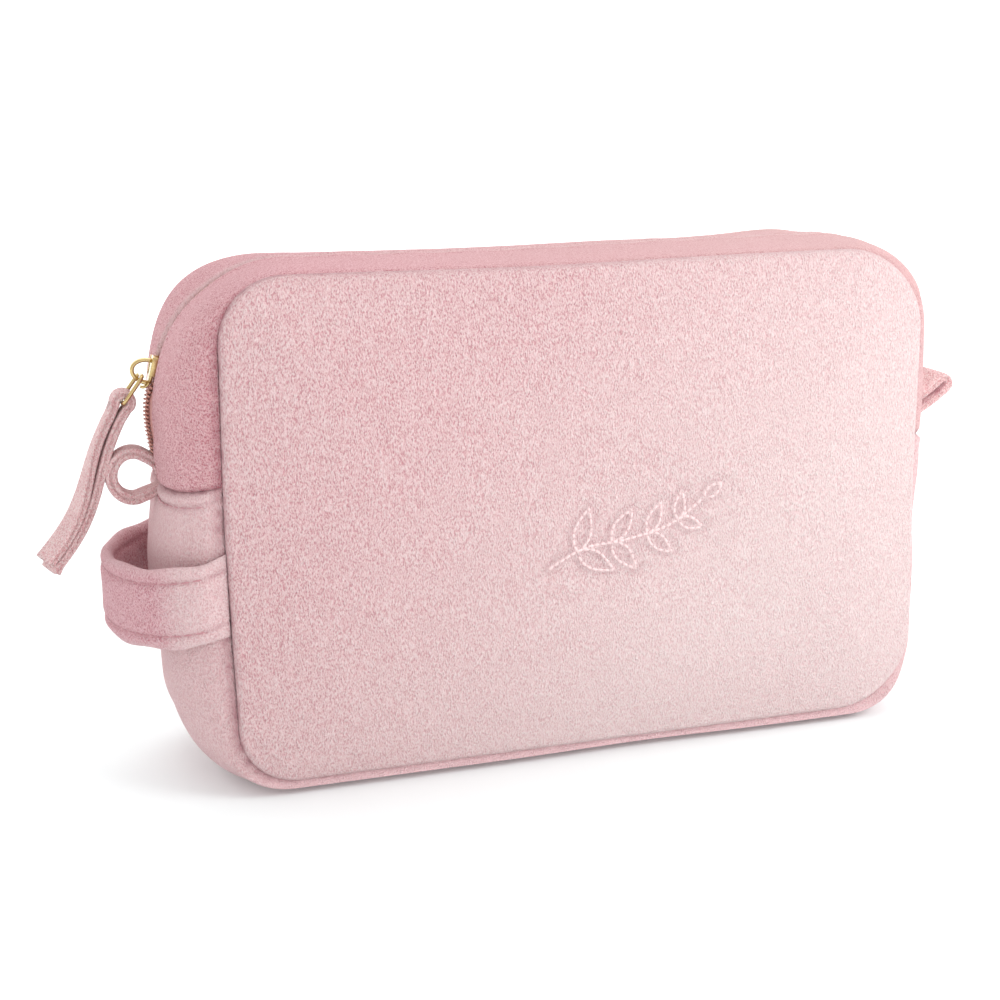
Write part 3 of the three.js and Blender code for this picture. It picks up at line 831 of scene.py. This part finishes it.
def pull_link():
    """A wire ring: a rounded rectangle of wire hanging from its top bar."""
    half, corner = 4.9, 1.9
    legs = []
    for cy, cz, start in ((half - corner, -corner, 90), (half - corner, -LINK_LENGTH + corner, 0),
                          (-half + corner, -LINK_LENGTH + corner, -90), (-half + corner, -corner, -180)):
        a = np.radians(np.linspace(start, start - 90, 10))
        legs.append(np.stack([cy + corner * np.cos(a), cz + corner * np.sin(a)], -1))
    flat = np.concatenate(legs)
    flat = np.concatenate([np.linspace(p, q, 5)[:-1] for p, q in zip(flat, np.roll(flat, -1, 0))])
    path = LINK_AT + flat[:, :1] * np.array([0, 1, 0]) - flat[:, 1:] * LINK_DOWN
    ahead = np.roll(path, -1, 0) - np.roll(path, 1, 0)
    ahead /= np.linalg.norm(ahead, axis=1)[:, None]
    out = np.array([-math.cos(LINK_TILT), 0, math.sin(LINK_TILT)])
    side = np.cross(ahead, out)
    wire = round_bar(0.62, 12)
    rings = path[:, None] + wire[None, :, :1] * side[:, None] + wire[None, :, 1:] * out
    return make_piece("pull_ring", *tube_mesh(rings, closed=True), GOLD, "gold_metal")


# ---------------------------------------------------------------- straps


def edged_band(thickness, width, sides=64):
    """A soft band's section with a groove down the middle of each narrow edge, where two layers meet."""
    a = np.arange(sides) / sides * TURN
    c, s = np.cos(a), np.sin(a)
    r = (np.abs(c) ** 5 + np.abs(s) ** 5) ** (-1 / 5)
    across, along = r * c * thickness / 2, r * s * width / 2
    along -= np.sign(along) * 0.7 * bell(across, 0.4) * (np.abs(s) > 0.6)
    return np.stack([across, along], -1)


def pull_strap():
    """A folded velvet strip: up one leaf, round the link's bar and down the other, turning as it falls."""
    leaf, length, middle, radius = 3.0, 52.5, 1.6, 2.35
    t = np.linspace(0, 1, 60)
    down = np.stack([middle + 0.15 * np.sin(t * 7), -4.8 - (length - 4.8) * t], -1)
    turn = np.radians(np.linspace(-34, 214, 28))
    fold = radius * np.stack([np.cos(turn), np.sin(turn)], -1) + [0, 0.3]
    longer = down[::-1] - [0, 2.4] * t[::-1, None]
    flat = np.concatenate([longer, fold, down * [-1, 1]])
    pivot = LINK_AT + LINK_LENGTH * LINK_DOWN
    tilt = math.radians(27.5)
    down_dir = np.array([-math.sin(tilt), 0, -math.cos(tilt)])
    out_dir = np.array([-math.cos(tilt), 0, math.sin(tilt)])
    path = pivot - flat[:, :1] * out_dir - flat[:, 1:] * down_dir
    rings = along_path(path, edged_band(leaf, 7.6), (0, 1, 0))
    drop = np.clip(((rings - pivot) @ down_dir) / length, 0, 1)
    twist = -math.radians(30) * smoothstep(0.15, 1.0, drop)
    middle_line = pivot + ((rings - pivot) @ down_dir)[..., None] * down_dir
    arm = rings - middle_line
    c, s = np.cos(twist)[..., None], np.sin(twist)[..., None]
    rings = middle_line + arm * c + np.cross(down_dir, arm) * s
    bow = 1.6 * np.sin(np.pi * drop) - 1.2 * np.sin(2 * np.pi * drop)
    return make_piece("pull_velvet", *tube_mesh(rings - bow[..., None] * out_dir), VELVET_STRAP, "velvet")


def ring_loop():
    """The left loop: out of the join, round in a tall ring and back, its two ends pinched together."""
    a = np.radians(np.linspace(66, 294, 15))
    arc = np.stack([-133.2 + 6.3 * np.cos(a), JOIN + 0.2 + 7.0 * np.sin(a)], -1)
    neck = [[-121.5, JOIN - 1.6], [-124.4, JOIN + 0.9], [-127.4, JOIN + 4.4]]
    heel = [[-127.2, JOIN - 4.9], [-124.2, JOIN - 3.2], [-121.5, JOIN - 2.4]]
    flat = curve_points(np.concatenate([neck, arc, heel]), 130)
    path = np.stack([flat[:, 0], 0 * flat[:, 0], flat[:, 1]], -1)
    squeeze = 1 - 0.45 * smoothstep(0.72, 1.0, np.abs(np.linspace(-1, 1, 130)))
    rings = along_path(path, edged_band(3.7, 7.6)[None] * squeeze[:, None, None], (0, 1, 0))
    return make_piece("loop_left", *tube_mesh(rings), VELVET_STRAP, "velvet")


def flat_loop():
    """The right loop: pressed nearly flat, curving upward, with its far edge lifted."""
    count, length, half = 50, 24.5, 2.0
    slope = np.radians(np.linspace(12, 40, count))
    step = length / (count - 1)
    spine = np.array([120.4, JOIN]) + np.concatenate(
        [[[0, 0]], np.cumsum(step * np.stack([np.cos(slope), np.sin(slope)], -1)[:-1], 0)])
    beside = half * np.stack([-np.sin(slope), np.cos(slope)], -1)
    turn = slope[-1] + np.radians(np.linspace(90, -90, 14)[1:-1])
    tip = spine[-1] + half * np.stack([np.cos(turn), np.sin(turn)], -1)
    flat = np.concatenate([spine + beside, tip, (spine - beside)[::-1]])
    path = np.stack([flat[:, 0], 0 * flat[:, 0], flat[:, 1]], -1)
    rings = along_path(path, edged_band(3.2, 7.6), (0, 1, 0))
    middle = np.concatenate([spine, np.repeat(spine[-1:], len(tip), 0), spine[::-1]])
    toward = np.stack([middle[:, 0] - flat[:, 0], 0 * flat[:, 0], middle[:, 1] - flat[:, 1]], -1) / half
    # painted shade on the loop's inner faces, between its pressed layers
    painted_shade = 0.8 * smoothstep(0.2, 1.4, ((rings - path[:, None]) * toward[:, None]).sum(-1))
    run = np.clip((rings[..., 0] - 120.4) / 25, 0, 1)
    lift = (rings[..., 1] + 3.8) * smoothstep(0.05, 0.7, run)
    rings[..., 0] -= lift * 0.85
    rings[..., 2] += lift * 0.3
    return make_piece("loop_right", *tube_mesh(rings), VELVET_STRAP, "velvet",
                      np.append(painted_shade.ravel(), [0, 0]))


def handle_section(pinch):
    """The handle's section: full soft rims, and a groove pressed in by each row of stitches."""
    height = 12.0
    h = height * np.sin(np.linspace(-np.pi / 2, np.pi / 2, 70))
    half = 2.3 * (1 - np.abs(h / height) ** 6) ** 0.5 + 0.03
    half -= 0.75 * (bell(h - height + 4.2, 1.0) + bell(h + height - 4.2, 1.0)) + 0.25 * bell(h, 5.5)
    ring = np.concatenate([np.stack([half, h], -1), np.stack([-half, h], -1)[::-1]])
    return ring[None] * np.stack([pinch, np.ones(len(pinch))], -1)[:, None]


def handle_place(degrees):
    """The handle's middle line: half an oval standing out of the left gusset, its middle hanging lower.
    Its ends turn in to the seams."""
    a = np.radians(degrees)
    c = np.cos(a)
    y = 38.3 * np.sin(a) - 1.5 * np.sign(a) * smoothstep(74, 90, np.abs(degrees))
    return np.stack([SEAM["left"] - 0.6 - 30.6 * c, y, 63 - 4.6 * (1 - (1 - c) ** 2)], -1)


def handle_out(path):
    """The level direction out of the handle's face at each place on its middle line."""
    ahead = np.gradient(path[:, :2], axis=0)
    ahead /= np.linalg.norm(ahead, axis=1)[:, None]
    return np.stack([-ahead[:, 1], ahead[:, 0], 0 * ahead[:, 0]], -1)


def side_handle():
    """A wide stitched strap from the front seam round to the back seam, upright all the way."""
    degrees = np.linspace(-90, 90, 140)
    pinch = 1 - 0.8 * smoothstep(76, 90, np.abs(degrees))
    middle = handle_place(degrees)
    section = handle_section(pinch)
    up = section[..., 1]
    ripple = 0.35 * np.sin(degrees * 0.19 + 0.5)[:, None] * np.sign(up) * smoothstep(8, 12, np.abs(up))
    rings = middle[:, None] + section[..., :1] * handle_out(middle)[:, None]
    rings[..., 2] += section[..., 1] + ripple
    height = np.abs(section[..., 1])
    # painted shade in the two stitch grooves and a painted highlight along the top and bottom rims
    groove_shade_rim_highlight = 0.4 * bell(height - 7.8, 0.7) - 0.5 * smoothstep(9, 12, height)
    return make_piece("handle_velvet", *tube_mesh(rings), VELVET_HANDLE, "velvet",
                      np.append(groove_shade_rim_highlight.ravel(), [0, 0]))


# ---------------------------------------------------------------- stitches


def stitch_row(path, length=2.3, gap=0.9, radius=0.28):
    """Separate stitches along a path: short bars that dive at both ends."""
    run = np.concatenate([[0], np.cumsum(np.linalg.norm(np.diff(path, axis=0), axis=1))])
    parts = []
    for start in np.arange(gap, run[-1] - length, length + gap):
        at = np.linspace(start, start + length, 5)
        line = np.stack([np.interp(at, run, path[:, k]) for k in range(3)], -1)
        size = radius * np.array([0.45, 0.95, 1.0, 0.95, 0.45])
        rings = along_path(line, round_bar(1.0, 6)[None] * size[:, None, None], (0.01, 0.02, 1))
        parts.append(tube_mesh(rings))
    return parts


def motif_stitches():
    """Thread over the sprig's lines, lying on the velvet."""
    parts = []
    for line in MOTIF:
        x, z = line[:, 0], line[:, 1]
        drift = 0.35 * np.sin(x / 23 + 0.7) * np.sin(z / 17 + x / 61)
        y = -(HALF_DEPTH + 2.3 + crown(outline_distance(x, z)) + drift)
        parts += stitch_row(slump(np.stack([x, y, z], -1)), 1.9, 0.1, 0.5)
    return make_piece("motif_thread", *joined(parts), PALE_THREAD, "velvet", whole=False)


def join_stitches():
    """The top-stitching just under each join seam."""
    parts = []
    _, crest, normal = LOWER
    wall = np.abs(normal[:, 0]) > 0.99
    y = np.linspace(-HALF_DEPTH + 2, HALF_DEPTH - 2, 60)
    for rows in (wall & (crest[:, 0] < 0), wall & (crest[:, 0] > 0)):
        nearest = np.argmin(np.abs(crest[rows, 1] - JOIN + HEM))
        track = tuple(part[rows][nearest][None] for part in LOWER)
        parts += stitch_row(gusset_grid(track, y, 0.35)[0], 2.4, 1.0, 0.3)
    return make_piece("join_thread", *joined(parts), THREAD, "velvet", whole=False)


def handle_stitches():
    """Two rows of stitches along the handle, on its outer face."""
    path = handle_place(np.linspace(-78, 78, 120))
    out = handle_out(path)
    out = out * -np.sign(out[len(out) // 2, 0])
    parts = []
    for h in (-7.8, 7.8):
        parts += stitch_row(path + out * 1.5 + [0, 0, h], 2.6, 1.0, 0.28)
    return make_piece("handle_thread", *joined(parts), THREAD, "velvet", whole=False)


# ---------------------------------------------------------------- build the bag


def fold(piece):
    """Bakes a front piece's placement into its mesh."""
    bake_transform(piece)


def build_shell():
    """The velvet: both panels, the lower gusset and the two halves of the zip gusset."""
    front = panel("front_velvet", -1, VELVET_UP, stitched=True)
    back = panel("back_velvet", 1, VELVET_UP)
    lower = lower_gusset()
    gusset_front = zip_gusset("zip_gusset_front_velvet", -1)
    gusset_back = zip_gusset("zip_gusset_back_velvet", 1)
    for piece, nodes in ((front, ["front_panel_lower", "front_panel_upper"]),
                         (gusset_front, ["zip_gusset_front"])):
        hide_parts(*nodes)
        fold(piece)
    for piece, node in ((back, "back_panel"), (lower, "lower_gusset"), (gusset_back, "zip_gusset_back")):
        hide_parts(node)
        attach(piece, "bag")


def build_inside():
    """Linings, zip tapes and bindings. The depths are where a lining's rows lie across the gusset."""
    linings = [-34.6, -33.5, -32, -29, -26, -22, -17, -12, -8, -5.6]
    full = [-34.6, -33.5, -32, -29, -26, -20, -14, -7, 0, 7, 14, 20, 26, 29, 32, 33.5, 34.6]
    tape_front, tape_back = zip_tape("tape_front", -1), zip_tape("tape_back", 1)
    zip_front = strip("lining_zip_front", UPPER, linings, 3.1, 0.6, LINING_CLOTH, "lining")
    zip_back = strip("lining_zip_back", UPPER, [-y for y in linings], 3.1, 0.6, LINING_CLOTH, "lining")
    low = strip("lining_lower", LOWER, full, 2.7, 0.6, LINING_CLOTH, "lining")
    front, back = panel_lining("lining_front", -1), panel_lining("lining_back_cloth", 1)
    whole = tuple(np.concatenate([u[:-1], low_part[:-1]]) for u, low_part in zip(UPPER, LOWER))
    ring_front = binding_ring("binding_front", whole, -1, True)
    ring_back = binding_ring("binding_back_tape", whole, 1, True)
    for piece, nodes in ((tape_front, ["zip_tape_front"]), (zip_front, ["lining_gusset_front"]),
                         (front, ["lining_front_lower", "lining_front_upper"]),
                         (ring_front, ["binding_front_upper", "binding_front_lower"])):
        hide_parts(*nodes)
        fold(piece)
    for piece, node in ((tape_back, "zip_tape_back"), (zip_back, "lining_gusset_back"),
                        (back, "lining_back"), (low, "lining_gusset_lower"), (ring_back, "binding_back")):
        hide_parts(node)
        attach(piece, "bag")


def build_zip():
    """Both coils, the slider with its bridge, the link and the velvet pull."""
    coil_front = zip_coil("coil_front", -1)
    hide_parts("zip_coil_front")
    fold(coil_front)
    coil_back = zip_coil("coil_back", 1)
    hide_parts("zip_coil_back")
    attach(coil_back, "bag")
    for piece, node, body in ((slider_body(), "slider_body", "slider"),
                              (slider_crown(), "slider_crown", "slider"),
                              (pull_link(), "pull_link", "link"), (pull_strap(), "pull_strap", "pull")):
        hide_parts(node)
        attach(piece, body)


def build_straps():
    """The handle, both end loops, and the stitches that show outside."""
    for piece, node in ((side_handle(), "side_handle"), (ring_loop(), "end_loop_left"),
                        (flat_loop(), "end_loop_right")):
        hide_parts(node)
        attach(piece, "bag")
    for piece in (motif_stitches(), join_stitches(), handle_stitches()):
        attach(piece, "bag")


# ---------------------------------------------------------------- camera, light and floor


def aim(thing, place, target, roll_degrees=0.0):
    """Puts a camera or light at a place, looking at the target."""
    direction = Vector(target) - Vector(place)
    turn = direction.to_track_quat("-Z", "Y").to_matrix().to_4x4()
    roll = Matrix.Rotation(math.radians(roll_degrees), 4, "Z")
    thing.matrix_world = Matrix.Translation(place) @ turn @ roll


def studio():
    """The camera, two area lights, an even white world, and the pale floor and backdrop."""
    scene = bpy.context.scene
    azimuth, elevation, distance = math.radians(-17.26), math.radians(12.69), 0.5428
    target = (-0.01774, 0.0, 0.07547)
    level = math.cos(elevation)
    back = (math.sin(azimuth) * level, -math.cos(azimuth) * level, math.sin(elevation))
    lens = bpy.data.cameras.new("camera")
    lens.lens, lens.sensor_width = 60.61, 36.0
    camera = bpy.data.objects.new("camera", lens)
    scene.collection.objects.link(camera)
    aim(camera, tuple(t + b * distance for t, b in zip(target, back)), target, -1.1)
    scene.camera = camera

    for name, place, size, power in (("key", (0.38, -0.35, 0.35), 0.3, 1.45),
                                     ("top", (0.2, 0.2, 1.6), 1.4, 5.0)):
        data = bpy.data.lights.new(name, "AREA")
        data.shape, data.size, data.energy = "SQUARE", size, power
        light = bpy.data.objects.new(name, data)
        scene.collection.objects.link(light)
        aim(light, place, (0, 0, 0.08))

    world = bpy.data.worlds.new("studio")
    world.use_nodes = True
    world.node_tree.nodes["Background"].inputs["Color"].default_value = (1, 1, 1, 1)
    world.node_tree.nodes["Background"].inputs["Strength"].default_value = 0.93
    scene.world = world
    scene.view_settings.view_transform = "Standard"

    floor = staged_plane("floor", 12, (0, 0, 0), (0, 0, 0))
    t = Tree("floor_paper")
    grain = t.noise(t.place(), 40, 1.0)
    away = t.node("ShaderNodeVectorMath", {"operation": "LENGTH"}, {0: t.place()}, output=1)
    glow = t.ramp(away * 0.5, [(0.08, (0.08, 0.08, 0.08)), (0.6, (0.5, 0.5, 0.5))])
    floor.data.materials.append(t.finish({
        "Base Color": t.mix(grain, (0.84, 0.89, 0.89), (0.86, 0.91, 0.91)), "Roughness": 0.9,
        "Emission Color": glow, "Emission Strength": 1.0}))
    backdrop = staged_plane("backdrop", 12, (0, 5, 5), (math.pi / 2, 0, 0))
    t = Tree("backdrop_paper")
    grain = t.noise(t.place(), 3, 1.0)
    backdrop.data.materials.append(t.finish({
        "Base Color": t.mix(grain, (0.9, 0.9, 0.9), (0.95, 0.95, 0.95)), "Roughness": 0.9,
        "Emission Color": (1, 1, 1, 1), "Emission Strength": 0.8}))


def staged_plane(name, size, place, turn):
    """A big square that only stages the object."""
    h = size / 2
    mesh = bpy.data.meshes.new(name)
    mesh.from_pydata([(-h, -h, 0), (h, -h, 0), (h, h, 0), (-h, h, 0)], [], [(0, 1, 2, 3)])
    plane = bpy.data.objects.new(name, mesh)
    plane.location, plane.rotation_euler = place, turn
    bpy.context.scene.collection.objects.link(plane)
    return plane


studio()
build_shell()
build_inside()
build_zip()
build_straps()
